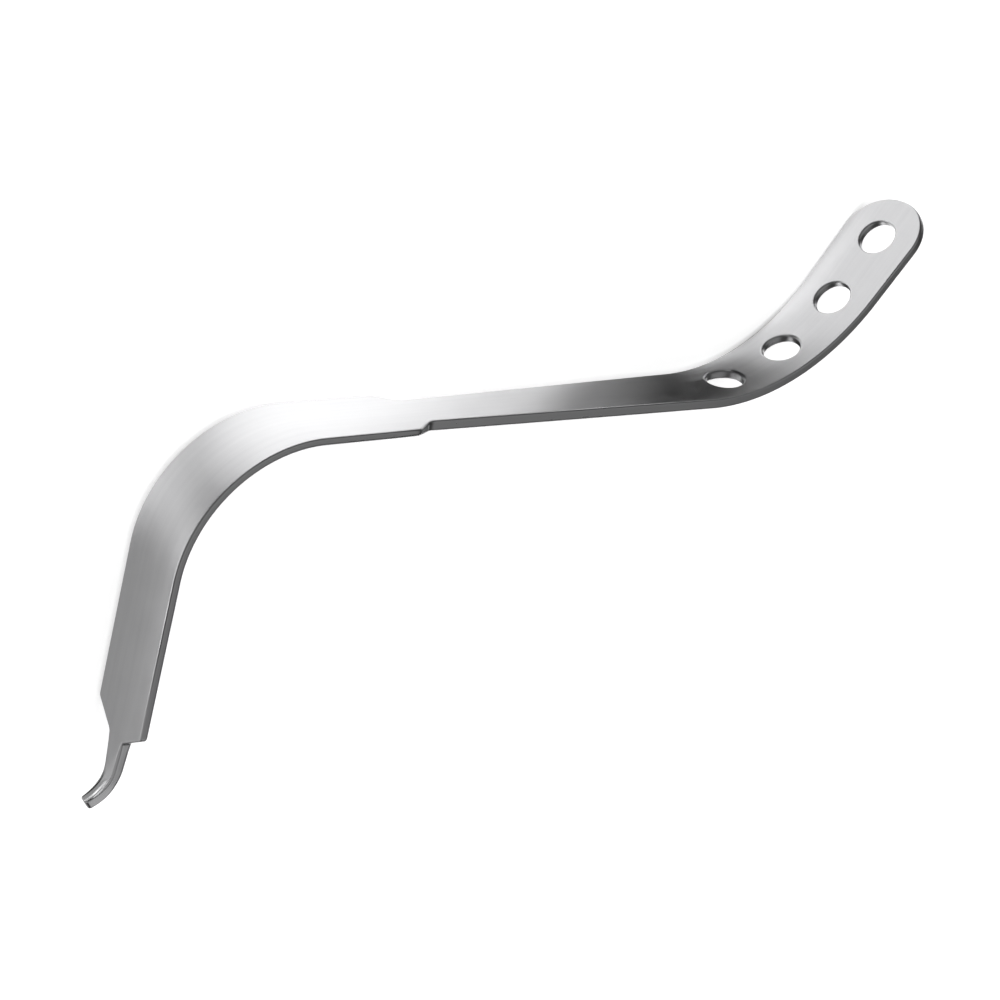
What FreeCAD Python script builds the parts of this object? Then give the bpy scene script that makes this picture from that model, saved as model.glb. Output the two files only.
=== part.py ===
"""Bent lever retractor for bone surgery: one bar of stainless steel, lying on its side.

The bending plane is XY and the bar's width runs along Z. The origin is on the front face of the
straight shank, where a holder clamps it. The shank runs along X: the holed grip rises off its +X
end towards +Y, and the wide blade turns down towards -Y off its -X end, to a short outturned nose.
"""
import math
import os

import FreeCAD
import Part
import Sketcher
from FreeCAD import Vector

NODE = "retractor_bar"
HOLE_COUNT = 4

# Driving dimensions, in millimetres and degrees.
SIZES = {
    # The bent bar, seen from its edge. Each radius is that of the inside of its bend.
    "bar_thickness": 3.0,
    "grip_length": 33.5,
    "grip_bend_radius": 70.0,
    "grip_angle": 55.0,
    "grip_reach": 60.0,
    "blade_reach": 74.0,
    "blade_bend_radius": 35.0,
    "blade_angle": 84.0,
    "blade_length": 57.0,
    "nose_bend_radius": 10.0,
    "nose_angle": 55.0,
    "nose_length": 1.6,
    # Widths along the bar, and the step where the shank widens into the blade.
    "grip_width": 29.0,
    "grip_corner_radius": 13.4,
    "shank_width": 15.0,
    "blade_width": 24.0,
    "step_distance": 40.6,
    "step_length": 5.5,
    "step_radius": 4.0,
    # The blade's lower end, and the bevels along its back.
    "shoulder_distance": 43.1,
    "shoulder_length": 5.4,
    "shoulder_radius": 1.5,
    "root_radius": 1.5,
    "nose_root_width": 7.6,
    "nose_end_width": 2.1,
    "nose_corner_radius": 0.9,
    "bevel_width": 3.9,
    "bevel_edge_thickness": 2.0,
    # Holes in the grip.
    "hole_diameter": 11.5,
    "hole_pitch": 24.0,
    "hole_end_distance": 14.0,
    "rim_chamfer": 0.4,
    # Rounding of the long edges and of the bevels' edges.
    "arris_radius": 0.45,
    "bevel_edge_radius": 0.3,
    # Bar stock beyond the finished outline, cut away by it.
    "stock_allowance": 3.0,
}

# Expressions that several features share. Lengths along the bar follow its front face.
BLADE_FRONT_RADIUS = "(sizes.blade_bend_radius + sizes.bar_thickness)"
BEND_ARC = "(sizes.grip_bend_radius * sizes.grip_angle * pi / 180)"
STOCK_HALF = "(max(sizes.grip_width; sizes.blade_width) / 2 + sizes.stock_allowance)"
THROUGH_ALL = "(4 * (sizes.blade_length + sizes.grip_reach + sizes.blade_reach + sizes.grip_length))"


def make_sheet(doc):
    """Write the driving dimensions into a spreadsheet, one named cell each."""
    sheet = doc.addObject("Spreadsheet::Sheet", "sizes")
    for row, (name, value) in enumerate(SIZES.items(), start=1):
        sheet.set(f"A{row}", name)
        sheet.set(f"B{row}", str(value))
        sheet.setAlias(f"B{row}", name)
    doc.recompute()
    return sheet


def evaluate(obj, expression):
    """Return an expression's present value as a plain number."""
    value = obj.evalExpression(expression)
    return float(getattr(value, "Value", value))


def add_sketch(body, name, role, base=("0", "0", "0"), turn="0", about=Vector(0, 1, 0)):
    """Add a sketch on an origin plane, moved by base and then turned about one of its axes.

    base holds expressions along the plane's own x, y and z, and turn one in degrees.
    """
    sketch = body.newObject("Sketcher::SketchObject", name)
    plane = next(item for item in body.Origin.OriginFeatures if item.Role == role)
    sketch.AttachmentSupport = [(plane, "")]
    sketch.MapMode = "FlatFace"
    sketch.AttachmentOffset = FreeCAD.Placement(Vector(), FreeCAD.Rotation(about, 1.0))
    sketch.setExpression("AttachmentOffset.Rotation.Angle", turn)
    for axis, expression in zip("xyz", base):
        sketch.setExpression(f"AttachmentOffset.Base.{axis}", expression)
    return sketch


def drive(sketch, expression, kind, *where):
    """Add a dimension to the sketch and tie it to an expression."""
    value = evaluate(sketch, expression)
    if kind == "Angle":
        value = math.radians(value)
    index = sketch.addConstraint(Sketcher.Constraint(kind, *where, value))
    sketch.setExpression(f"Constraints[{index}]", expression)


def place(sketch, corner, x, y):
    """Hold a corner, given as (geometry, end), at two expressions from the sketch's origin."""
    drive(sketch, x, "DistanceX", -1, 1, *corner)
    drive(sketch, y, "DistanceY", -1, 1, *corner)


def draw_region(sketch, corners):
    """Draw a closed polygon whose corners are pairs of expressions."""
    points = [Vector(evaluate(sketch, x), evaluate(sketch, y), 0) for x, y in corners]
    lines = [
        sketch.addGeometry(Part.LineSegment(start, end))
        for start, end in zip(points, points[1:] + points[:1])
    ]
    for line, after in zip(lines, lines[1:] + lines[:1]):
        sketch.addConstraint(Sketcher.Constraint("Coincident", line, 2, after, 1))
    for line, (x, y) in zip(lines, corners):
        place(sketch, (line, 1), x, y)


def cut(body, sketch, name, depth=THROUGH_ALL):
    """Pocket the sketch to both of its sides, depth in all."""
    pocket = body.newObject("PartDesign::Pocket", name)
    pocket.Profile = sketch
    pocket.Midplane = True
    pocket.setExpression("Length", depth)
    return pocket


def mirror_cut(body, feature, name):
    """Repeat a cut on the other side of the bending plane."""
    mirrored = body.newObject("PartDesign::Mirrored", name)
    plane = next(item for item in body.Origin.OriginFeatures if item.Role == "XY_Plane")
    mirrored.Originals = [feature]
    mirrored.MirrorPlane = (plane, [""])
    body.Tip = mirrored
    return mirrored


class FaceWalk:
    """One long face of the bar in the profile sketch, drawn from the nose to the grip's end."""

    def __init__(self, sketch, start, heading):
        self.sketch = sketch
        self.point = start
        self.heading = heading
        self.pieces = []

    def direction(self, turn=0.0):
        """Return the unit vector along the walk, turned to the left by an angle in degrees."""
        angle = math.radians(self.heading + turn)
        return Vector(math.cos(angle), math.sin(angle), 0)

    def line(self, length):
        """Draw a straight run."""
        end = self.point + self.direction() * length
        geometry = self.sketch.addGeometry(Part.LineSegment(self.point, end))
        self.pieces.append((geometry, 1, 2))
        self.point = end

    def bend(self, radius, turn):
        """Draw an arc that turns left by a positive angle or right by a negative one."""
        side = math.copysign(90.0, turn)
        centre = self.point + self.direction(side) * radius
        first = self.heading - side
        low, high = sorted((first, first + turn))
        circle = Part.Circle(centre, Vector(0, 0, 1), radius)
        arc = Part.ArcOfCircle(circle, math.radians(low), math.radians(high))
        ends = (1, 2) if turn > 0 else (2, 1)
        self.pieces.append((self.sketch.addGeometry(arc), *ends))
        self.heading += turn
        self.point = centre + self.direction(-side) * radius

    def join(self):
        """Make each piece run smoothly into the next."""
        for (piece, _, last), (after, first, _) in zip(self.pieces, self.pieces[1:]):
            self.sketch.addConstraint(Sketcher.Constraint("Tangent", piece, last, after, first))


def walk_face(sketch, start, depth):
    """Draw the face that lies a depth behind the front face, starting at the nose's tip."""
    size = SIZES
    heading = size["blade_angle"] - size["nose_angle"]
    face = FaceWalk(sketch, start, heading)
    face.point -= face.direction(90) * depth
    face.line(size["nose_length"])
    face.bend(size["nose_bend_radius"] + depth, size["nose_angle"])
    face.line(size["blade_length"])
    face.bend(size["blade_bend_radius"] + size["bar_thickness"] - depth, -size["blade_angle"])
    face.line(size["blade_reach"] + size["grip_reach"])
    face.bend(size["grip_bend_radius"] + depth, size["grip_angle"])
    face.line(size["grip_length"])
    face.join()
    return face.pieces


def nose_tip_point():
    """Return where the front face begins, at the nose's tip."""
    size = SIZES
    bend = size["blade_bend_radius"] + size["bar_thickness"]
    blade = math.radians(size["blade_angle"])
    nose = math.radians(size["nose_angle"])
    point = Vector(-size["blade_reach"] - bend * math.sin(blade), bend * (math.cos(blade) - 1), 0)
    down = Vector(-math.cos(blade), -math.sin(blade), 0)
    out = Vector(-math.sin(blade), math.cos(blade), 0)
    along = size["nose_bend_radius"] * math.sin(nose) + size["nose_length"] * math.cos(nose)
    aside = size["nose_bend_radius"] * (1 - math.cos(nose)) + size["nose_length"] * math.sin(nose)
    return point + down * (size["blade_length"] + along) + out * aside


def draw_profile(sketch):
    """Draw the bar as seen from its edge: two parallel faces through three bends."""
    tip = nose_tip_point()
    front = walk_face(sketch, tip, 0.0)
    back = walk_face(sketch, tip, SIZES["bar_thickness"])
    constrain = sketch.addConstraint
    for piece in (0, 2, 4, 6):
        constrain(Sketcher.Constraint("Parallel", front[piece][0], back[piece][0]))
    for piece in (1, 3, 5):
        constrain(Sketcher.Constraint("Coincident", front[piece][0], 3, back[piece][0], 3))
    for piece, end in ((0, 1), (6, 2)):
        corners = (sketch.getPoint(front[piece][0], end), sketch.getPoint(back[piece][0], end))
        cap = sketch.addGeometry(Part.LineSegment(*corners))
        constrain(Sketcher.Constraint("Coincident", cap, 1, front[piece][0], end))
        constrain(Sketcher.Constraint("Coincident", cap, 2, back[piece][0], end))
        constrain(Sketcher.Constraint("Perpendicular", cap, front[piece][0]))
        if piece == 6:
            drive(sketch, "sizes.bar_thickness", "Distance", cap)
    nose, nose_bend, blade, blade_bend, shank, grip_bend, grip = [piece[0] for piece in front]
    constrain(Sketcher.Constraint("Horizontal", shank))
    constrain(Sketcher.Constraint("PointOnObject", shank, 1, -1))
    drive(sketch, "sizes.blade_reach", "DistanceX", shank, 1, -1, 1)
    drive(sketch, "sizes.grip_reach", "DistanceX", -1, 1, shank, 2)
    drive(sketch, "sizes.grip_length", "Distance", grip)
    drive(sketch, "sizes.blade_length", "Distance", blade)
    drive(sketch, "sizes.nose_length", "Distance", nose)
    drive(sketch, "sizes.grip_bend_radius", "Radius", grip_bend)
    drive(sketch, BLADE_FRONT_RADIUS, "Radius", blade_bend)
    drive(sketch, "sizes.nose_bend_radius", "Radius", nose_bend)
    drive(sketch, "sizes.grip_angle", "Angle", grip)
    drive(sketch, "sizes.blade_angle", "Angle", blade)
    drive(sketch, "sizes.blade_angle - sizes.nose_angle", "Angle", nose)


def add_bent_stock(body):
    """Pad the profile to the full width of the bar stock."""
    profile = add_sketch(body, "edge_profile", "XY_Plane")
    draw_profile(profile)
    stock = body.newObject("PartDesign::Pad", "bent_stock")
    stock.Profile = profile
    stock.Midplane = True
    stock.setExpression("Length", f"2 * {STOCK_HALF}")


def cut_blade_outline(body):
    """Cut the blade to width and slope the step in to the shank, seen square to the shank."""
    sketch = add_sketch(body, "blade_outline", "XZ_Plane")
    blade_end = f"-2 * ({BLADE_FRONT_RADIUS} + sizes.blade_reach + sizes.blade_length)"
    draw_region(sketch, [
        (blade_end, "sizes.blade_width / 2"),
        ("-sizes.step_distance - sizes.step_length", "sizes.blade_width / 2"),
        ("-sizes.step_distance", "sizes.shank_width / 2"),
        ("-sizes.step_distance", f"{STOCK_HALF} + 1"),
        (blade_end, f"{STOCK_HALF} + 1"),
    ])
    mirror_cut(body, cut(body, sketch, "blade_sides"), "blade_sides_mirrored")


def side_section(body, name, width, *placing):
    """Add a sketch across the bar that covers the stock outside a width."""
    section = add_sketch(body, name, "YZ_Plane", *placing)
    draw_region(section, [
        ("1", f"{width} / 2"),
        ("1", f"{STOCK_HALF} + 1"),
        ("-sizes.bar_thickness - 1", f"{STOCK_HALF} + 1"),
        ("-sizes.bar_thickness - 1", f"{width} / 2"),
    ])
    return section


def cut_taper(body):
    """Cut the widening sides from the step through the grip's bend to the grip's end.

    The width grows evenly along the bar, as on the flat blank that was bent.
    """
    path = add_sketch(body, "taper_path", "XY_Plane")
    grip = math.radians(SIZES["grip_angle"])
    radius = SIZES["grip_bend_radius"]
    bend_start = Vector(SIZES["grip_reach"], 0, 0)
    centre = bend_start + Vector(0, radius, 0)
    bend_end = centre + Vector(math.sin(grip), -math.cos(grip), 0) * radius
    end = bend_end + Vector(math.cos(grip), math.sin(grip), 0) * SIZES["grip_length"]
    shank = path.addGeometry(Part.LineSegment(Vector(-SIZES["step_distance"], 0, 0), bend_start))
    circle = Part.Circle(centre, Vector(0, 0, 1), radius)
    bend = path.addGeometry(Part.ArcOfCircle(circle, -math.pi / 2, grip - math.pi / 2))
    run = path.addGeometry(Part.LineSegment(bend_end, end))
    path.addConstraint(Sketcher.Constraint("Tangent", shank, 2, bend, 1))
    path.addConstraint(Sketcher.Constraint("Tangent", bend, 2, run, 1))
    place(path, (shank, 1), "-sizes.step_distance", "0")
    place(path, (shank, 2), "sizes.grip_reach", "0")
    drive(path, "sizes.grip_bend_radius", "Radius", bend)
    drive(path, "sizes.grip_angle", "Angle", run)
    drive(path, "sizes.grip_length", "Distance", run)

    first = side_section(body, "taper_start", "sizes.shank_width", ("0", "0", "-sizes.step_distance"))
    turn = "sizes.grip_angle * 1 deg"
    run_x = f"sizes.grip_reach + sizes.grip_bend_radius * sin({turn}) + sizes.grip_length * cos({turn})"
    rise = f"sizes.grip_bend_radius * (1 - cos({turn})) + sizes.grip_length * sin({turn})"
    last = side_section(body, "taper_end", "sizes.grip_width", (rise, "0", run_x), "sizes.grip_angle")
    taper = body.newObject("PartDesign::SubtractivePipe", "taper_cut")
    taper.Profile = first
    taper.Spine = (path, ["Edge1", "Edge2", "Edge3"])
    taper.Transformation = "Multisection"
    taper.Sections = [last]
    mirror_cut(body, taper, "taper_cut_mirrored")


def blade_plane(body, name):
    """Add a sketch on the blade's front face: x runs down the blade from its bend, y along Z."""
    turn = "sizes.blade_angle * 1 deg"
    run = f"-sizes.blade_reach - {BLADE_FRONT_RADIUS} * sin({turn})"
    drop = f"{BLADE_FRONT_RADIUS} * (1 - cos({turn}))"
    return add_sketch(body, name, "XZ_Plane", (run, "0", drop), "sizes.blade_angle + 180")


def cut_nose_outline(body):
    """Cut the sloping shoulders and the tapered nose, seen square to the blade."""
    sketch = blade_plane(body, "nose_outline")
    root = "sizes.shoulder_distance + sizes.shoulder_length"
    bend = "(sizes.nose_bend_radius + sizes.bar_thickness) * sin(sizes.nose_angle * 1 deg)"
    beyond = f"sizes.blade_length + {bend} + sizes.nose_length"
    side = f"{STOCK_HALF} + 1"
    draw_region(sketch, [
        ("sizes.shoulder_distance", "sizes.blade_width / 2"),
        (root, "sizes.nose_root_width / 2"),
        (beyond, "sizes.nose_end_width / 2"),
        (beyond, side),
        ("sizes.shoulder_distance", side),
    ])
    nose = cut(body, sketch, "nose_sides", "8 * (sizes.nose_bend_radius + sizes.bar_thickness)")
    mirror_cut(body, nose, "nose_sides_mirrored")


def cut_back_bevels(body):
    """Bevel the blade's long back edges, from the step round the bend to the shoulders."""
    path = add_sketch(body, "bevel_path", "XY_Plane")
    blade = math.radians(SIZES["blade_angle"])
    radius = SIZES["blade_bend_radius"]
    thick = SIZES["bar_thickness"]
    start = Vector(-SIZES["step_distance"] + SIZES["step_length"] / 2, -thick, 0)
    bend_start = Vector(-SIZES["blade_reach"], -thick, 0)
    centre = bend_start - Vector(0, radius, 0)
    bend_end = centre + Vector(-math.sin(blade), math.cos(blade), 0) * radius
    end = bend_end - Vector(math.cos(blade), math.sin(blade), 0) * SIZES["blade_length"]
    shank = path.addGeometry(Part.LineSegment(start, bend_start))
    circle = Part.Circle(centre, Vector(0, 0, 1), radius)
    bend = path.addGeometry(Part.ArcOfCircle(circle, math.pi / 2, math.pi / 2 + blade))
    run = path.addGeometry(Part.LineSegment(bend_end, end))
    path.addConstraint(Sketcher.Constraint("Tangent", shank, 2, bend, 1))
    path.addConstraint(Sketcher.Constraint("Tangent", bend, 2, run, 1))
    begin = "-sizes.step_distance + sizes.step_length / 2"
    place(path, (shank, 1), begin, "-sizes.bar_thickness")
    place(path, (shank, 2), "-sizes.blade_reach", "-sizes.bar_thickness")
    drive(path, "sizes.blade_bend_radius", "Radius", bend)
    drive(path, "sizes.blade_angle + 180", "Angle", run)
    drive(path, "sizes.blade_length", "Distance", run)

    section = add_sketch(body, "bevel_section", "YZ_Plane", ("0", "0", begin))
    edge = "-sizes.bevel_edge_thickness"
    behind = "-sizes.bar_thickness - 1"
    ridge = "sizes.blade_width / 2 - sizes.bevel_width"
    draw_region(section, [
        ("-sizes.bar_thickness", ridge),
        (edge, "sizes.blade_width / 2"),
        (edge, "sizes.blade_width / 2 + 1"),
        (behind, "sizes.blade_width / 2 + 1"),
        (behind, ridge),
    ])
    bevel = body.newObject("PartDesign::SubtractivePipe", "back_bevel")
    bevel.Profile = section
    bevel.Spine = (path, ["Edge1", "Edge2", "Edge3"])
    mirror_cut(body, bevel, "back_bevel_mirrored")


def cut_grip_holes(body):
    """Turn out the row of round holes with bevelled rims, each square to the bar where it stands."""
    rim = "sizes.hole_diameter / 2"
    wide = f"{rim} + sizes.rim_chamfer + 1"
    for number in range(HOLE_COUNT):
        along = f"({BEND_ARC} + sizes.grip_length - sizes.hole_end_distance - {number} * sizes.hole_pitch)"
        turn = f"(min({along}; {BEND_ARC}) / sizes.grip_bend_radius * 1 rad)"
        beyond = f"max({along} - {BEND_ARC}; 0)"
        run = f"sizes.grip_reach + sizes.grip_bend_radius * sin({turn}) + {beyond} * cos({turn})"
        rise = f"sizes.grip_bend_radius * (1 - cos({turn})) + {beyond} * sin({turn})"
        degrees = f"min({along}; {BEND_ARC}) / sizes.grip_bend_radius * 180 / pi"
        name = f"hole_{number + 1}"
        sketch = add_sketch(body, name, "XY_Plane", (run, rise, "0"), degrees, Vector(0, 0, 1))
        draw_region(sketch, [
            ("0", "1"),
            (wide, "1"),
            (rim, "-sizes.rim_chamfer"),
            (rim, "sizes.rim_chamfer - sizes.bar_thickness"),
            (wide, "-sizes.bar_thickness - 1"),
            ("0", "-sizes.bar_thickness - 1"),
        ])
        hole = body.newObject("PartDesign::Groove", f"grip_{name}")
        hole.Profile = sketch
        hole.ReferenceAxis = (sketch, ["V_Axis"])
        hole.Angle = 360


def point_on_shank(along, across, depth):
    """Return a point of the shank: along X, across the width, and behind the front face."""
    return Vector(along, -depth, across)


def point_on_blade(along, across, depth):
    """Return a point of the blade, measured down its front face from the bend."""
    size = SIZES
    turn = math.radians(size["blade_angle"])
    bend = size["blade_bend_radius"] + size["bar_thickness"]
    start = Vector(-size["blade_reach"] - bend * math.sin(turn), bend * (math.cos(turn) - 1), across)
    down = Vector(-math.cos(turn), -math.sin(turn), 0)
    inward = Vector(math.sin(turn), -math.cos(turn), 0)
    return start + down * along + inward * depth


def point_on_grip(along, across, depth):
    """Return a point of the grip's straight end, measured along its front face from the bend."""
    size = SIZES
    turn = math.radians(size["grip_angle"])
    bend = size["grip_bend_radius"]
    start = Vector(size["grip_reach"] + bend * math.sin(turn), bend * (1 - math.cos(turn)), across)
    outward = Vector(math.cos(turn), math.sin(turn), 0)
    inward = Vector(math.sin(turn), -math.cos(turn), 0)
    return start + outward * along + inward * depth


def edges_at(body, points):
    """Name the edges of the body's present shape that pass closest to each point."""
    edges = body.Tip.Shape.Edges
    names = []
    for point in points:
        vertex = Part.Vertex(point)
        nearest = min(range(len(edges)), key=lambda index: edges[index].distToShape(vertex)[0])
        names.append(f"Edge{nearest + 1}")
    return names


def sharp_edges(body):
    """Name the edges where two faces meet at more than 35 degrees."""
    shape = body.Tip.Shape
    names = []
    for index, edge in enumerate(shape.Edges):
        faces = shape.ancestorsOfType(edge, Part.Face)
        if len(faces) != 2:
            continue
        middle = edge.valueAt((edge.FirstParameter + edge.LastParameter) / 2)
        normals = [face.normalAt(*face.Surface.parameter(middle)) for face in faces]
        if math.degrees(normals[0].getAngle(normals[1])) > 35:
            names.append(f"Edge{index + 1}")
    return names


def round_edges(doc, body, name, edges, radius):
    """Round edges of the body's present shape by one of the sheet's sizes."""
    base = body.Tip
    fillet = body.newObject("PartDesign::Fillet", name)
    fillet.Base = (base, edges)
    fillet.setExpression("Radius", f"sizes.{radius}")
    doc.recompute()
    return fillet


def round_outline_corners(doc, body):
    """Round the outline's corners: the step, the shoulders, the nose's root and tip, the grip's end."""
    size = SIZES
    middle = size["bar_thickness"] / 2
    shank = size["shank_width"] / 2
    blade = size["blade_width"] / 2
    step = -size["step_distance"]
    wide = step - size["step_length"]
    shoulder = size["shoulder_distance"]
    root = shoulder + size["shoulder_length"]
    doc.recompute()
    step_points = [
        point_on_shank(x, side * half, middle)
        for side in (-1, 1)
        for x, half in ((wide, blade), (step, shank))
    ]
    round_edges(doc, body, "step_corners", edges_at(body, step_points), "step_radius")
    shoulder_points = [point_on_blade(shoulder, side * blade, middle) for side in (-1, 1)]
    round_edges(doc, body, "shoulder_corners", edges_at(body, shoulder_points), "shoulder_radius")
    root_points = [
        point_on_blade(root, side * size["nose_root_width"] / 2, middle) for side in (-1, 1)
    ]
    round_edges(doc, body, "nose_roots", edges_at(body, root_points), "root_radius")
    grip_points = [
        point_on_grip(size["grip_length"], side * size["grip_width"] / 2, middle) for side in (-1, 1)
    ]
    round_edges(doc, body, "grip_end", edges_at(body, grip_points), "grip_corner_radius")
    tip = nose_tip_point()
    heading = math.radians(size["blade_angle"] - size["nose_angle"])
    inward = Vector(math.sin(heading), -math.cos(heading), 0)
    tip_points = [
        tip + inward * middle + Vector(0, 0, side * size["nose_end_width"] / 2) for side in (-1, 1)
    ]
    round_edges(doc, body, "nose_tip", edges_at(body, tip_points), "nose_corner_radius")


def build(doc):
    """Build the retractor's one solid."""
    body = doc.addObject("PartDesign::Body", NODE)
    body.Label = NODE
    add_bent_stock(body)
    cut_blade_outline(body)
    cut_taper(body)
    cut_nose_outline(body)
    round_outline_corners(doc, body)
    round_edges(doc, body, "arrises", sharp_edges(body), "arris_radius")
    cut_back_bevels(body)
    doc.recompute()
    round_edges(doc, body, "bevel_edges", sharp_edges(body), "bevel_edge_radius")
    cut_grip_holes(body)
    doc.recompute()
    return body


def main():
    """Build the document and write the step file."""
    doc = FreeCAD.newDocument("retractor")
    make_sheet(doc)
    body = build(doc)
    for obj in doc.Objects:
        if "Invalid" in obj.State or "Error" in obj.State:
            raise RuntimeError(f"{obj.Name} did not recompute: {obj.State}")
    if body.Shape.isNull() or not body.Shape.isValid():
        raise RuntimeError(f"{body.Name} has no valid shape")
    os.makedirs("parts", exist_ok=True)
    body.Shape.exportStep(f"parts/{NODE}.step")
    print(f"{NODE}: {body.Shape.Volume:.1f} mm3, {len(body.Shape.Faces)} faces")


main()
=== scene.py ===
"""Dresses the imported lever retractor: one bent bar of satin steel, lying on a pale studio floor.

Lengths are in millimetres and angles in degrees, unless a docstring says otherwise, until a mesh is
written. That is in metres, in the part's own frame: X runs along the straight shank to the grip, Y
out of the shank's front face, Z across the bar. A place on the bar is given as along (the distance
on its front face, 0 at the frame's origin), across (from the middle of its width) and depth (behind
its front face).
"""

import logging
import math
from dataclasses import dataclass, field
from enum import Enum

import bmesh
import bpy
import numpy as np
from mathutils import Matrix, Vector

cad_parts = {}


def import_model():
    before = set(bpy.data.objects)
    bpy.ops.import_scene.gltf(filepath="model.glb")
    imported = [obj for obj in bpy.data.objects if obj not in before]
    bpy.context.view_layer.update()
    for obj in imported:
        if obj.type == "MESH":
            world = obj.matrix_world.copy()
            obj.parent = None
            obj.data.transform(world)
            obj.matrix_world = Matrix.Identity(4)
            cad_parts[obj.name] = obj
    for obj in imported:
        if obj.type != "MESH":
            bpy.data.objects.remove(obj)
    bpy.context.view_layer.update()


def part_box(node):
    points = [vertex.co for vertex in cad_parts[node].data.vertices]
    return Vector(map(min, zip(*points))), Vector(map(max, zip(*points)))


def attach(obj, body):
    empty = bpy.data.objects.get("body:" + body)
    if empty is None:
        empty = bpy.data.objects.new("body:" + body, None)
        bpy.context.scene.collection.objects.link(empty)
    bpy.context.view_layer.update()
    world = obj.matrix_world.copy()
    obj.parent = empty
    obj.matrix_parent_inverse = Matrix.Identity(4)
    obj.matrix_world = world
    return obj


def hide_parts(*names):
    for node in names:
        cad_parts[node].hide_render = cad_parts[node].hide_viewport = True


LOG = logging.getLogger("retractor")
Tree = bpy.types.NodeTree
Socket = bpy.types.NodeSocket
METRE = 0.001
BAR_NODE = "retractor_bar"
GRAIN_MAP = "grain"
POLISH = "polish"
# A unit of the grain map is 100 mm of steel. The back is moved along the map by units, and the rim
# and the bores by millimetres, so that no two surfaces have the same grain.
GRAIN_UNIT = 100.0
BACK_GRAIN = 7.0
RIM_GRAIN = 20.0
BORE_GRAIN = 40.0
# Shares of a side wall's height at which it has a row of points between its two arrises.
WALL_ROWS = (0.06, 0.35, 0.65, 0.94)


class Side(Enum):
    """The two wide faces of the bar."""

    FRONT = "front"
    BACK = "back"


class Finish(Enum):
    """The surfaces that are finished in their own way, by material index."""

    FACE = 0
    EDGE = 1


def eased(value: np.ndarray, low: float, high: float) -> np.ndarray:
    """Rise smoothly from 0 at low to 1 at high.

    Args:
        value: Where the ramp is read.
        low: Value at which it leaves 0.
        high: Value at which it reaches 1.

    Returns:
        The cubic ease 3t squared less 2t cubed, with t held between 0 and 1.
    """
    t = np.clip((np.asarray(value, float) - low) / (high - low), 0.0, 1.0)
    return t * t * (3.0 - 2.0 * t)


@dataclass(frozen=True)
class Run:
    """A straight or evenly bent stretch of the bar's front face, with its turn in degrees."""

    length: float
    turn: float = 0.0


@dataclass
class BarLine:
    """The bar's front face seen from its edge, from the nose's tip to the grip's end.

    The radii are those of the front face, which is outside the blade's bend and inside the others.
    """

    grip_length: float = 33.5
    grip_radius: float = 70.0
    grip_angle: float = 55.0
    grip_reach: float = 60.0
    blade_reach: float = 74.0
    blade_radius: float = 38.0
    blade_angle: float = 84.0
    blade_length: float = 57.0
    nose_radius: float = 10.0
    nose_angle: float = 55.0
    nose_length: float = 1.6
    starts: np.ndarray = field(init=False)
    headings: np.ndarray = field(init=False)
    curves: np.ndarray = field(init=False)
    places: np.ndarray = field(init=False)

    def __post_init__(self) -> None:
        """Lay the runs end to end and put the frame's origin on the shank."""
        runs = (
            Run(self.nose_length),
            Run(self.nose_radius * math.radians(self.nose_angle), self.nose_angle),
            Run(self.blade_length),
            Run(self.blade_radius * math.radians(self.blade_angle), -self.blade_angle),
            Run(self.blade_reach + self.grip_reach),
            Run(self.grip_radius * math.radians(self.grip_angle), self.grip_angle),
            Run(self.grip_length),
        )
        lengths = np.array([run.length for run in runs])
        turns = np.radians([run.turn for run in runs])
        before = lengths[:4].sum() + self.blade_reach
        self.starts = np.concatenate(([0.0], np.cumsum(lengths)[:-1])) - before
        first = math.radians(self.blade_angle - self.nose_angle)
        self.headings = first + np.concatenate(([0.0], np.cumsum(turns)[:-1]))
        self.curves = turns / lengths
        steps = self.stride(lengths, self.headings, self.curves)
        self.places = np.concatenate((np.zeros((1, 2)), np.cumsum(steps, axis=0)[:-1]))
        self.places -= self.front(np.array([0.0]))[0][0]

    @property
    def tip(self) -> float:
        """Distance along at the nose's tip."""
        return float(self.starts[0])

    @property
    def blade_start(self) -> float:
        """Distance along where the blade's bend ends and its straight part begins."""
        return float(self.starts[3])

    @property
    def end(self) -> float:
        """Distance along at the grip's end."""
        return float(self.starts[6]) + self.grip_length

    @staticmethod
    def stride(step: np.ndarray, heading: np.ndarray, curve: np.ndarray) -> np.ndarray:
        """Work out how far a stretch of constant bend goes.

        An arc's chord is its length times sin(q) / q, at the heading half way round, where q is
        half of the angle turned.

        Args:
            step: Length gone.
            heading: Heading at its start, in radians.
            curve: Angle turned for each unit of length.

        Returns:
            The displacement in X and Y, one row each.
        """
        half = curve * step / 2.0
        chord = step * np.sinc(half / np.pi)
        return np.stack((chord * np.cos(heading + half), chord * np.sin(heading + half)), axis=-1)

    def front(self, along: np.ndarray) -> tuple[np.ndarray, np.ndarray]:
        """Give points of the front face and the headings there.

        Args:
            along: Distances along the front face.

        Returns:
            Points in X and Y, and headings in radians.
        """
        along = np.asarray(along, float)
        index = np.clip(np.searchsorted(self.starts, along, side="right") - 1, 0, len(self.starts) - 1)
        step = along - self.starts[index]
        heading, curve = self.headings[index], self.curves[index]
        return self.places[index] + self.stride(step, heading, curve), heading + curve * step

    def solid(self, along: np.ndarray, across: np.ndarray, depth: np.ndarray) -> np.ndarray:
        """Bend places on the flat blank into space.

        A place is the front face's point moved back by its depth along the face's normal, which is
        the heading turned by a right angle.

        Args:
            along: Distances along the front face.
            across: Distances from the middle of the width.
            depth: Distances behind the front face.

        Returns:
            Points in X, Y and Z, in the shape of the arguments with a last axis of three.
        """
        along, across, depth = np.broadcast_arrays(along, across, depth)
        place, heading = self.front(along)
        x = place[..., 0] + np.sin(heading) * depth
        y = place[..., 1] - np.cos(heading) * depth
        return np.stack((x, y, across), axis=-1)


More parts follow.
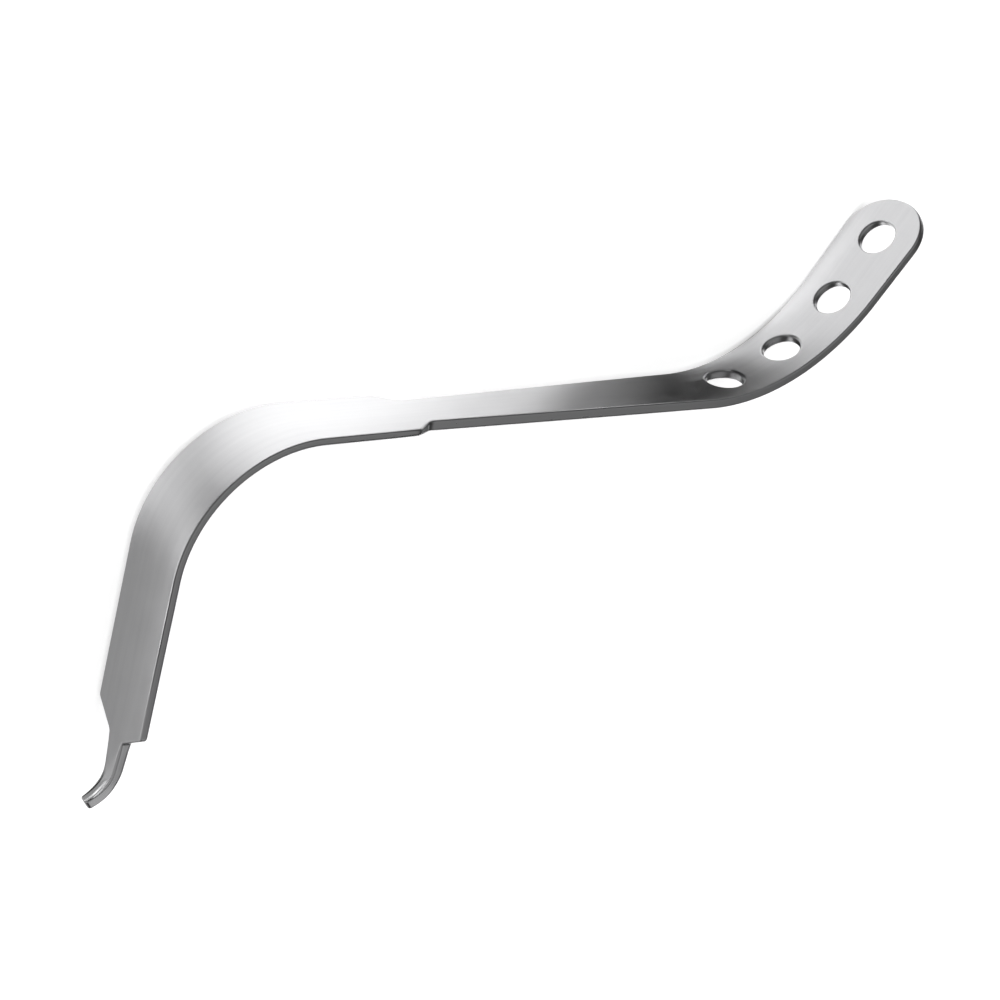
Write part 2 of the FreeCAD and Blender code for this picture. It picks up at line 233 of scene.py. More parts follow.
@dataclass(frozen=True)
class Corner:
    """A corner of half of the blank's outline, and the radius that rounds it."""

    along: float
    across: float
    radius: float = 0.0


@dataclass
class Blank:
    """The flat blank that is bent: its outline, its thickness and its bevelled back edges.

    A reach is a pair of distances from the tip, over which a form gives way to the next. The
    swell's pairs count from the step's end on the blade, and those of the bevel's end and of the
    ridge's columns from its end on the shank.
    """

    line: BarLine
    thickness: float = 3.0
    grip_width: float = 29.0
    grip_corner: float = 13.4
    shank_width: float = 15.0
    blade_width: float = 24.0
    step_distance: float = 40.6
    step_length: float = 5.5
    step_radius: float = 4.0
    shoulder_distance: float = 43.1
    shoulder_length: float = 5.4
    shoulder_radius: float = 1.5
    root_radius: float = 1.5
    nose_root: float = 7.6
    nose_end: float = 2.94
    nose_corner: float = 0.9
    bevel_width: float = 3.9
    bevel_drop: float = 1.0
    bevel_end: tuple[float, float] = (1.0, 8.0)
    ridge_blend: float = 0.35
    crown_drop: float = 0.38
    crown_half: float = 1.47
    crown_reach: tuple[float, float] = (4.0, 11.0)
    arris: float = 0.6
    tip_arris: float = 0.3
    nose_arris: float = 0.9
    nose_reach: tuple[float, float] = (3.5, 9.0)
    blade_reach: tuple[float, float] = (16.0, 20.5)
    step_arris: float = 0.85
    swell_rise: tuple[float, float] = (-9.0, 1.0)
    swell_fall: tuple[float, float] = (2.0, 5.5)
    spacing: float = 0.7
    stop_margin: float = 0.05
    arc_steps: int = 14
    flat_steps: int = 10
    edge_shares: tuple[float, ...] = (0.36, 0.54, 0.72, 0.9, 0.975, 1.0)
    ridge_limit: float = 0.93
    ridge_end: tuple[float, float] = (5.0, 60.6)

    @property
    def across_steps(self) -> int:
        """Number of steps between the columns over half of a wide face."""
        return self.flat_steps + len(self.edge_shares)

    def corners(self) -> list[Corner]:
        """List the corners of the outline's near half.

        Returns:
            The corners from the middle of the nose's tip to the middle of the grip's end.
        """
        line = self.line
        shoulder = line.blade_start - self.shoulder_distance
        wide = self.blade_width / 2
        return [
            Corner(line.tip, 0.0),
            Corner(line.tip, self.nose_end / 2, self.nose_corner),
            Corner(shoulder - self.shoulder_length, self.nose_root / 2, self.root_radius),
            Corner(shoulder, wide, self.shoulder_radius),
            Corner(-self.step_distance - self.step_length, wide, self.step_radius),
            Corner(-self.step_distance, self.shank_width / 2, self.step_radius),
            Corner(line.end, self.grip_width / 2, self.grip_corner),
            Corner(line.end, 0.0),
        ]

    def trace(self, stops: np.ndarray) -> tuple[np.ndarray, np.ndarray]:
        """Trace the outline's near half, with its corners rounded.

        Each rounded corner is an arc that leaves the two sides at radius times the tangent of half
        of the turn. A straight stretch is divided evenly, the tip's square end into as many steps as
        half of a face has. A stretch that runs along the bar is divided again at each stop that isn't
        next to its ends.

        Args:
            stops: Distances along at which the trace has to have a point.

        Returns:
            Points (along, across), and unit normals that point into the blank.
        """
        corners = self.corners()
        spots = np.array([(corner.along, corner.across) for corner in corners])
        legs = np.diff(spots, axis=0)
        reach = np.linalg.norm(legs, axis=1)
        heading = np.arctan2(legs[:, 1], legs[:, 0])
        turn = (np.diff(heading) + np.pi) % (2 * np.pi) - np.pi
        radius = np.array([corner.radius for corner in corners[1:-1]])
        trim = np.concatenate(([0.0], radius * np.tan(np.abs(turn) / 2), [0.0]))
        points, headings = [spots[:1]], [heading[:1]]
        for leg in range(len(legs)):
            way = legs[leg] / reach[leg]
            low, high = trim[leg], reach[leg] - trim[leg + 1]
            count = self.across_steps if leg == 0 else max(2, math.ceil((high - low) / self.spacing))
            marks = np.linspace(low, high, count + 1)
            if way[0] > 0.0:
                extra = (stops - spots[leg, 0]) / way[0]
                extra = extra[(extra > low + self.stop_margin) & (extra < high - self.stop_margin)]
                marks = np.unique(np.concatenate((marks, extra)).round(6))
            straight = spots[leg] + marks[1:, None] * way
            points.append(straight)
            headings.append(np.full(len(straight), heading[leg]))
            if leg < len(turn):
                share = np.arange(1, self.arc_steps + 1) / self.arc_steps
                bend = turn[leg]
                step = radius[leg] * abs(bend) * share
                curve = np.full(len(share), math.copysign(1.0, bend) / radius[leg])
                start = np.full(len(share), heading[leg])
                points.append(straight[-1] + BarLine.stride(step, start, curve))
                headings.append(heading[leg] + bend * share)
        heading_all = np.concatenate(headings)
        normals = np.stack((np.sin(heading_all), -np.cos(heading_all)), axis=1)
        return np.concatenate(points), normals

    def rounding(self, along: np.ndarray) -> np.ndarray:
        """Give the arrises' radius: larger on the nose's shaft and at the step, small at the tip.

        It grows smoothly below the nose's root and falls again before the tip. On the blade it
        grows slowly towards the step, and falls back within it.

        Args:
            along: Distances along the front face.

        Returns:
            The radius at each distance.
        """
        reach = np.asarray(along) - self.line.tip
        nose = self.tip_arris + (self.nose_arris - self.tip_arris) * eased(reach, *self.nose_reach)
        plain = nose + (self.arris - nose) * eased(reach, *self.blade_reach)
        past_step = np.asarray(along) + self.step_distance + self.step_length
        swell = eased(past_step, *self.swell_rise) * (1.0 - eased(past_step, *self.swell_fall))
        return plain + (self.step_arris - self.arris) * swell

    def front_depth(self, along: np.ndarray, across: np.ndarray) -> np.ndarray:
        """Give the front face's depth: none, but for a low crown on the nose's outturned end.

        The crown falls away with the square of the distance from the middle line, and eases in
        along the nose's bend.

        Args:
            along: Distances along the front face.
            across: Distances from the middle of the width.

        Returns:
            Depths behind the flat front face.
        """
        reach = np.asarray(along) - self.line.tip
        ease = 1.0 - eased(reach, *self.crown_reach)
        share = np.clip(np.abs(across) / self.crown_half, 0.0, 1.0)
        return self.crown_drop * ease * share**2

    def back_depth(self, along: np.ndarray, across: np.ndarray) -> np.ndarray:
        """Give the back face's depth: the thickness, less the bevels along the blade's edges.

        A bevel drops evenly from its ridge to the edge. The ridge is softened by the square root of
        the distance's square and the blend's, as in a hyperbola.

        Args:
            along: Distances along the front face.
            across: Distances from the middle of the width.

        Returns:
            Depths behind the flat front face.
        """
        ridge = self.blade_width / 2 - self.bevel_width
        past = np.abs(across) - ridge
        drop = (past + np.sqrt(past**2 + self.ridge_blend**2)) / 2 * self.bevel_drop / self.bevel_width
        on_blade = 1.0 - eased(np.asarray(along) + self.step_distance, *self.bevel_end)
        return self.thickness - drop * on_blade

    def columns(self, along: np.ndarray, half: np.ndarray) -> np.ndarray:
        """Spread the columns of a wide face over its half width.

        A column follows the bevel's ridge where the blade has one, and another stands close to the
        edge, so that its rounding doesn't shade the flat.

        Args:
            along: Distances along, one for each row.
            half: Half width of each row.

        Returns:
            Distances across, one row each, from 0 to the half width.
        """
        ridge = (self.blade_width / 2 - self.bevel_width) / half
        usual = (self.blade_width / 2 - self.bevel_width) / (self.blade_width / 2 - self.arris)
        fade = eased(along + self.step_distance, *self.ridge_end)
        share = np.clip(ridge, usual, self.ridge_limit) * (1.0 - fade) + usual * fade
        flat = np.linspace(0.0, 1.0, self.flat_steps + 1)[None, :] * share[:, None]
        rest = share[:, None] + np.array(self.edge_shares)[None, :] * (1.0 - share[:, None])
        return np.concatenate((flat, rest), axis=1) * half[:, None]


@dataclass
class Patch:
    """A grid of points that becomes faces, with its own grain coordinates.

    The grid's rows and columns are its first two axes. A closed patch joins its last column to its
    first.
    """

    points: np.ndarray
    grain: np.ndarray
    polish: np.ndarray
    finish: Finish
    closed: bool = False

    def faces(self) -> np.ndarray:
        """Number the corners of the grid's four-sided faces.

        Returns:
            Four indices of points for each face, counted row by row.
        """
        rows, columns = self.points.shape[:2]
        index = np.arange(rows * columns).reshape(rows, columns)
        if self.closed:
            index = np.concatenate((index, index[:, :1]), axis=1)
        quads = (index[:-1, :-1], index[1:, :-1], index[1:, 1:], index[:-1, 1:])
        return np.stack([quad.ravel() for quad in quads], axis=1)


def weld(name: str, patches: list[Patch], closeness: float = 4e-7) -> bpy.types.Mesh:
    """Join patches into one closed mesh.

    Args:
        name: Name of the mesh.
        patches: The grids, whose edges meet point on point, in millimetres.
        closeness: Distance in metres within which points are the same.

    Returns:
        A mesh in metres with outward faces, a grain map, a polish attribute and material indices.
    """
    points = np.concatenate([patch.points.reshape(-1, 3) for patch in patches]) * METRE
    grain = np.concatenate([patch.grain.reshape(-1, 2) for patch in patches])
    polish = np.concatenate([patch.polish.ravel() for patch in patches])
    counts = np.array([patch.points.shape[0] * patch.points.shape[1] for patch in patches])
    offsets = np.concatenate(([0], np.cumsum(counts)[:-1]))
    faces = [patch.faces() + offset for patch, offset in zip(patches, offsets)]
    finishes = np.repeat([patch.finish.value for patch in patches], [len(face) for face in faces])
    corners = np.concatenate(faces)
    mesh = bpy.data.meshes.new(name)
    mesh.from_pydata(points, [], corners.tolist())
    mesh.uv_layers.new(name=GRAIN_MAP).data.foreach_set("uv", grain[corners.ravel()].ravel())
    mesh.attributes.new(POLISH, "FLOAT", "POINT").data.foreach_set("value", polish.astype(np.float32))
    mesh.polygons.foreach_set("material_index", finishes.astype(np.int32))
    work = bmesh.new()
    work.from_mesh(mesh)
    bmesh.ops.remove_doubles(work, verts=work.verts, dist=closeness)
    bmesh.ops.dissolve_degenerate(work, dist=closeness, edges=work.edges)
    bmesh.ops.recalc_face_normals(work, faces=work.faces)
    if work.calc_volume(signed=True) < 0:
        bmesh.ops.reverse_faces(work, faces=work.faces)
    loose = sum(1 for edge in work.edges if not edge.is_manifold)
    work.to_mesh(mesh)
    work.free()
    mesh.shade_smooth()
    LOG.info("%s: %d faces, %d open edges", name, len(mesh.polygons), loose)
    return mesh


def face_grain(flat: np.ndarray, side: Side) -> np.ndarray:
    """Give a wide face's grain map, from its points' places along and across."""
    return flat / GRAIN_UNIT + (0.0 if side is Side.FRONT else BACK_GRAIN)


def edge_patch(rings: list[np.ndarray], around: np.ndarray, start: float, polish: np.ndarray) -> Patch:
    """Join a front and a back arris by a straight side wall.

    Args:
        rings: The rings of points of each arris, both from its face to the wall.
        around: Distance round the edge, one for each column.
        start: Where the grain map starts across the edge, in millimetres.
        polish: How far each column is polished.

    Returns:
        The edge's patch, with brush lines that run round it.
    """
    front, back = rings[0], rings[1][::-1]
    share = np.array(WALL_ROWS)[:, None, None]
    wall = front[-1][None] * (1.0 - share) + back[0][None] * share
    points = np.concatenate((front, wall, back))
    drop = np.linalg.norm(np.diff(points, axis=0), axis=2).mean(axis=1)
    level = np.concatenate(([0.0], np.cumsum(drop)))
    grain = np.stack(np.broadcast_arrays(around[None, :], level[:, None] + start), axis=2) / GRAIN_UNIT
    return Patch(points, grain, np.repeat(polish[None], len(points), axis=0), Finish.EDGE, closed=True)


@dataclass
class HoleRow:
    """The row of round holes through the grip.

    The table turns straight offsets into distances along: it reaches so far each way and has so
    many entries. The shares place the rings of points from a hole's rim out to its loop.
    """

    line: BarLine
    blank: Blank
    count: int = 4
    diameter: float = 11.5
    pitch: float = 24.0
    end_distance: float = 14.0
    rim: float = 0.9
    rim_steps: int = 6
    table_reach: float = 12.0
    table_steps: int = 961
    shares: tuple[float, ...] = (0.0, 0.02, 0.08, 0.18, 0.31, 0.46, 0.62, 0.79, 0.96, 1.0)

    def centres(self) -> np.ndarray:
        """Give the distances along of the holes, from the shank to the grip's end."""
        last = self.line.end - self.end_distance
        return last - self.pitch * np.arange(self.count)[::-1]

    def dividers(self) -> np.ndarray:
        """Give the distances along of the rows that part one hole's surroundings from the next."""
        return self.centres() - self.pitch / 2

    def along(self, centre: float, offset: np.ndarray, side: Side) -> np.ndarray:
        """Find where a straight offset from a hole's axis meets a face of the bent bar.

        The offset of each place near the hole is its position along the face's tangent at the
        centre, and a table of those is read backwards.

        Args:
            centre: The hole's distance along.
            offset: Straight distances from the axis.
            side: The face that is met.

        Returns:
            Distances along the front face.
        """
        depth = 0.0 if side is Side.FRONT else self.blank.thickness
        table = np.linspace(centre - self.table_reach, centre + self.table_reach, self.table_steps)
        place = self.line.solid(table, np.zeros_like(table), np.full_like(table, depth))
        middle, heading = self.line.front(np.array([centre]))
        tangent = np.array([math.cos(heading[0]), math.sin(heading[0])])
        return np.interp(offset, (place[:, :2] - middle[0]) @ tangent, table)

    def surround(self, centre: float, loop: np.ndarray, side: Side) -> Patch:
        """Build the face around one hole, from its rim out to a loop.

        Each ray runs straight on the blank, from the rim's circle to the loop's point that has the
        same bearing from the hole's centre.

        Args:
            centre: The hole's distance along.
            loop: Points (along, across) of the outer loop, in order.
            side: The face that is built.

        Returns:
            The face's patch.
        """
        bearing = np.arctan2(loop[:, 1], loop[:, 0] - centre)
        radius = self.diameter / 2 + self.rim
        rim_along = self.along(centre, radius * np.cos(bearing), side)
        inner = np.stack((rim_along, radius * np.sin(bearing)), axis=1)
        share = np.array(self.shares)[:, None, None]
        flat = inner[None] * (1.0 - share) + loop[None] * share
        depth = np.full(flat.shape[:2], 0.0 if side is Side.FRONT else self.blank.thickness)
        points = self.line.solid(flat[..., 0], flat[..., 1], depth)
        return Patch(points, face_grain(flat, side), np.zeros(flat.shape[:2]), Finish.FACE, closed=True)

    def bore(self, centre: float, loop: np.ndarray) -> Patch:
        """Build one hole's rounded rims and its wall.

        A rim is a quarter circle that starts on the face, at the rim's radius outside the hole, and
        ends on the wall, as deep behind the face. The wall runs straight between the two rims.

        Args:
            centre: The hole's distance along.
            loop: The outer loop, which gives the bearings of the rays.

        Returns:
            The hole's patch.
        """
        bearing = np.arctan2(loop[:, 1], loop[:, 0] - centre)
        swing = np.linspace(0.0, np.pi / 2, self.rim_steps + 1)
        radius = self.diameter / 2 + self.rim * (1.0 - np.sin(swing))
        sunk = self.rim * (1.0 - np.cos(swing))
        rings = []
        for side in Side:
            offset = radius[:, None] * np.cos(bearing)[None]
            across = radius[:, None] * np.sin(bearing)[None]
            depth = np.repeat(sunk[:, None], len(bearing), axis=1)
            if side is Side.BACK:
                depth = self.blank.thickness - depth
            rings.append(self.line.solid(self.along(centre, offset, side), across, depth))
        return edge_patch(rings, bearing * self.diameter / 2, BORE_GRAIN, np.zeros(len(bearing)))


@dataclass
class RetractorBar:
    """The whole retractor: the bent bar with its edges, holes, bevels and nose."""

    line: BarLine = field(default_factory=BarLine)
    blank: Blank = field(init=False)
    holes: HoleRow = field(init=False)
    swing_steps: int = 6
    polish_reach: tuple[float, float] = (5.5, 10.0)

    def __post_init__(self) -> None:
        """Cut the blank and set out the holes on it."""
        self.blank = Blank(self.line)
        self.holes = HoleRow(self.line, self.blank)

    def depth(self, along: np.ndarray, across: np.ndarray, side: Side) -> np.ndarray:
        """Give the depth of a wide face at places along and across."""
        shape = self.blank.front_depth if side is Side.FRONT else self.blank.back_depth
        return shape(along, across)

    def polish(self, along: np.ndarray) -> np.ndarray:
        """Tell how far the finish has gone from satin to polished, as it does at the nose's end."""
        return 1.0 - eased(np.asarray(along) - self.line.tip, *self.polish_reach)

    def face(self, inset: np.ndarray, side: Side) -> Patch:
        """Build a wide face from the nose to the first hole's surroundings.

        Each row runs straight across, between two points of the inset outline.

        Args:
            inset: Points (along, across) of the inset outline's near half, one for each row.
            side: The face that is built.

        Returns:
            The face's patch.
        """
        across = self.blank.columns(inset[:, 0], inset[:, 1])
        across = np.concatenate((-across[:, :0:-1], across), axis=1)
        along = np.repeat(inset[:, :1], across.shape[1], axis=1)
        points = self.line.solid(along, across, self.depth(along, across, side))
        grain = face_grain(np.stack((along, across), axis=2), side)
        return Patch(points, grain, self.polish(along), Finish.FACE)

    def rim(self, outline: np.ndarray, normals: np.ndarray) -> Patch:
        """Build the edge right round the bar: two rounded arrises with the side wall between them.

        An arris is a quarter circle: at an angle into it, it has left its edge by one less the sine,
        and its face by one less the cosine, times its radius.

        Args:
            outline: Points (along, across) of the outline's near half.
            normals: Unit normals there that point into the blank.

        Returns:
            The edge's patch.
        """
        near = np.concatenate((outline, outline[-2:0:-1] * (1.0, -1.0)))
        inward = np.concatenate((normals, normals[-2:0:-1] * (1.0, -1.0)))
        swing = np.linspace(0.0, np.pi / 2, self.swing_steps + 1)[:, None]
        radius = self.blank.rounding(near[:, 0])[None]
        inset = radius * (1.0 - np.sin(swing))
        sunk = radius * (1.0 - np.cos(swing))
        rings = []
        for side, sign in ((Side.FRONT, 1.0), (Side.BACK, -1.0)):
            flat = near[None] + inset[..., None] * inward[None]
            depth = self.depth(flat[..., 0], flat[..., 1], side) + sign * sunk
            rings.append(self.line.solid(flat[..., 0], flat[..., 1], depth))
        run = np.linalg.norm(np.diff(near, axis=0, append=near[:1]), axis=1)
        around = np.concatenate(([0.0], np.cumsum(run)[:-1]))
        return edge_patch(rings, around, RIM_GRAIN, self.polish(near[:, 0]))

    def patches(self) -> list[Patch]:
        """Work out every surface of the bar.

        The nose's square end takes the columns of the faces' first row, so that they meet there
        point on point.

        Returns:
            The rim, both wide faces, and each hole with its surroundings.
        """
        cuts = self.holes.dividers()
        outline, normals = self.blank.trace(cuts)
        radius = self.blank.rounding(outline[:, 0])[:, None]
        inset = outline + radius * normals
        corner = self.blank.across_steps
        square = slice(0, corner + 1)
        outline[square, 1] = self.row(inset, corner)[corner:, 1]
        normals[square] = normals[:1]
        inset[square] = outline[square] + radius[square] * normals[square]
        marks = [int(np.argmin(np.abs(outline[:, 0] - cut))) for cut in cuts]
        marks.append(len(outline) - 1)
        built = [self.rim(outline, normals)]
        for side in Side:
            built.append(self.face(inset[corner : marks[0] + 1], side))
        for centre, low, high in zip(self.holes.centres(), marks, marks[1:]):
            loop = self.loop(inset, low, high)
            built.append(self.holes.bore(centre, loop))
            built.extend(self.holes.surround(centre, loop, side) for side in Side)
        return built

    def loop(self, inset: np.ndarray, low: int, high: int) -> np.ndarray:
        """Trace the loop around one hole's surroundings.

        Args:
            inset: The inset outline's near half.
            low: Index of the row nearer to the shank.
            high: Index of the row nearer to the grip's end, or of the last point.

        Returns:
            Points (along, across) once round, without the first again at the end.
        """
        bottom = self.row(inset, low)
        side = inset[low + 1 : high]
        far = side[::-1] * (1.0, -1.0)
        top = inset[high:] if high == len(inset) - 1 else self.row(inset, high)[::-1]
        return np.concatenate((bottom, side, top, far))

    def row(self, inset: np.ndarray, index: int) -> np.ndarray:
        """Trace a row of a wide face.

        Args:
            inset: The inset outline's near half.
            index: Index of the row.

        Returns:
            Points (along, across), from the far side to the near one.
        """
        across = self.blank.columns(inset[index : index + 1, 0], inset[index : index + 1, 1])[0]
        across = np.concatenate((-across[:0:-1], across))
        return np.stack((np.full(len(across), inset[index, 0]), across), axis=1)

    def build(self, finishes: list[bpy.types.Material]) -> bpy.types.Object:
        """Make the bar's object, dress it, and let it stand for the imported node.

        Args:
            finishes: Materials of the faces and of the edges, in the order of Finish.

        Returns:
            The object.
        """
        mesh = weld("steel_bar", self.patches())
        for finish in finishes:
            mesh.materials.append(finish)
        bar = put_in_scene("steel_bar", mesh)
        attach(bar, "root")
        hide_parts(BAR_NODE)
        return bar


def put_in_scene(name: str, data: bpy.types.ID) -> bpy.types.Object:
    """Make an object and link it to the scene.

    Args:
        name: The object's name.
        data: Its mesh, light or camera.

    Returns:
        The object.
    """
    item = bpy.data.objects.new(name, data)
    bpy.context.scene.collection.objects.link(item)
    return item


def rectangle(name: str, half_x: float, half_y: float) -> bpy.types.Mesh:
    """Make a level rectangle about the origin.

    Args:
        name: Name of the mesh.
        half_x: Half of its length in X, in metres.
        half_y: Half of its length in Y, in metres.

    Returns:
        The mesh.
    """
    corners = [(-half_x, -half_y, 0), (half_x, -half_y, 0), (half_x, half_y, 0), (-half_x, half_y, 0)]
    mesh = bpy.data.meshes.new(name)
    mesh.from_pydata(corners, [], [(0, 1, 2, 3)])
    return mesh


def empty_material(name: str) -> bpy.types.Material:
    """Make a material whose node tree is empty.

    Args:
        name: The material's name.

    Returns:
        The material.
    """
    material = bpy.data.materials.new(name)
    material.use_nodes = True
    material.node_tree.nodes.clear()
    return material


def add_node(tree: Tree, kind: str, **settings: object) -> bpy.types.Node:
    """Add a shader node and set its properties.

    Args:
        tree: The material's or group's tree.
        kind: The node's type.
        settings: Properties by name.

    Returns:
        The node.
    """
    node = tree.nodes.new(kind)
    for name, value in settings.items():
        setattr(node, name, value)
    return node


def reckon(tree: Tree, operation: str, *values: object) -> Socket:
    """Add a Math node.

    Args:
        tree: The tree that takes it.
        operation: What the node does with its inputs.
        values: What feeds them, in order: sockets or numbers.

    Returns:
        The node's output.
    """
    node = add_node(tree, "ShaderNodeMath", operation=operation)
    for socket, value in zip(node.inputs, values):
        if isinstance(value, Socket):
            tree.links.new(value, socket)
        else:
            socket.default_value = value
    return node.outputs[0]


def remap(
    tree: Tree, value: Socket, span: tuple[float, float], ends: tuple[float, float], curve: str
) -> Socket:
    """Map a span of values to another, and hold it beyond the ends.

    Args:
        tree: The tree that takes the node.
        value: The value that is read.
        span: The values that give the two ends.
        ends: What they give.
        curve: How it goes from one end to the other.

    Returns:
        The mapped value.
    """
    node = add_node(tree, "ShaderNodeMapRange", interpolation_type=curve)
    tree.links.new(value, node.inputs["Value"])
    for name, number in zip(("From Min", "From Max", "To Min", "To Max"), (*span, *ends)):
        node.inputs[name].default_value = number
    return node.outputs[0]


class BrushedGrain:
    """Node group: fine brush lines that run along the grain map's first direction.

    A layer is an output, the share of the asked lines and breaks that it has, and its detail.
    """

    NAME = "brushed_grain"
    LAYERS = (("Height", 1.0, 3.0), ("Streaks", 0.16, 2.0))
    DETAIL_WEIGHT = 0.6

    @classmethod
    def group(cls) -> bpy.types.ShaderNodeTree:
        """Build the group on first use.

        Inputs are the grain map, the number of lines in 100 mm across, and of their breaks in 100 mm
        along. Outputs are a fine height and a broader streak mask, both from 0 to 1.

        Returns:
            The group.
        """
        if cls.NAME in bpy.data.node_groups:
            return bpy.data.node_groups[cls.NAME]
        tree = bpy.data.node_groups.new(cls.NAME, "ShaderNodeTree")
        sockets = tree.interface.new_socket
        sockets("Grain", in_out="INPUT", socket_type="NodeSocketVector")
        sockets("Lines", in_out="INPUT", socket_type="NodeSocketFloat")
        sockets("Breaks", in_out="INPUT", socket_type="NodeSocketFloat")
        for output, _, _ in cls.LAYERS:
            sockets(output, in_out="OUTPUT", socket_type="NodeSocketFloat")
        enter = add_node(tree, "NodeGroupInput")
        leave = add_node(tree, "NodeGroupOutput")
        for output, share, detail in cls.LAYERS:
            scale = add_node(tree, "ShaderNodeCombineXYZ")
            tree.links.new(reckon(tree, "MULTIPLY", enter.outputs["Breaks"], share), scale.inputs["X"])
            tree.links.new(reckon(tree, "MULTIPLY", enter.outputs["Lines"], share), scale.inputs["Y"])
            stretch = add_node(tree, "ShaderNodeVectorMath", operation="MULTIPLY")
            tree.links.new(enter.outputs["Grain"], stretch.inputs[0])
            tree.links.new(scale.outputs[0], stretch.inputs[1])
            noise = add_node(tree, "ShaderNodeTexNoise", noise_dimensions="2D")
            noise.inputs["Scale"].default_value = 1.0
            noise.inputs["Detail"].default_value = detail
            noise.inputs["Roughness"].default_value = cls.DETAIL_WEIGHT
            tree.links.new(stretch.outputs[0], noise.inputs["Vector"])
            tree.links.new(noise.outputs["Fac"], leave.inputs[output])
        return tree


class HandFinish:
    """Node group: the slow unevenness of a surface that was ground and polished by hand.

    A layer is an output, how many times the asked number of patches it has, and its detail.
    """

    NAME = "hand_finish"
    LAYERS = (("Wave", 1.0, 0.0), ("Cloud", 2.6, 3.0))

    @classmethod
    def group(cls) -> bpy.types.ShaderNodeTree:
        """Build the group on first use.

        The input is the number of patches in a metre. Outputs are a slow wave and a cloudy mask,
        both from 0 to 1, read from the object's own coordinates.

        Returns:
            The group.
        """
        if cls.NAME in bpy.data.node_groups:
            return bpy.data.node_groups[cls.NAME]
        tree = bpy.data.node_groups.new(cls.NAME, "ShaderNodeTree")
        sockets = tree.interface.new_socket
        sockets("Patches", in_out="INPUT", socket_type="NodeSocketFloat")
        for output, _, _ in cls.LAYERS:
            sockets(output, in_out="OUTPUT", socket_type="NodeSocketFloat")
        enter = add_node(tree, "NodeGroupInput")
        leave = add_node(tree, "NodeGroupOutput")
        place = add_node(tree, "ShaderNodeTexCoord")
        for output, share, detail in cls.LAYERS:
            noise = add_node(tree, "ShaderNodeTexNoise", noise_dimensions="3D")
            noise.inputs["Detail"].default_value = detail
            tree.links.new(place.outputs["Object"], noise.inputs["Vector"])
            tree.links.new(reckon(tree, "MULTIPLY", enter.outputs["Patches"], share), noise.inputs["Scale"])
            tree.links.new(noise.outputs["Fac"], leave.inputs[output])
        return tree


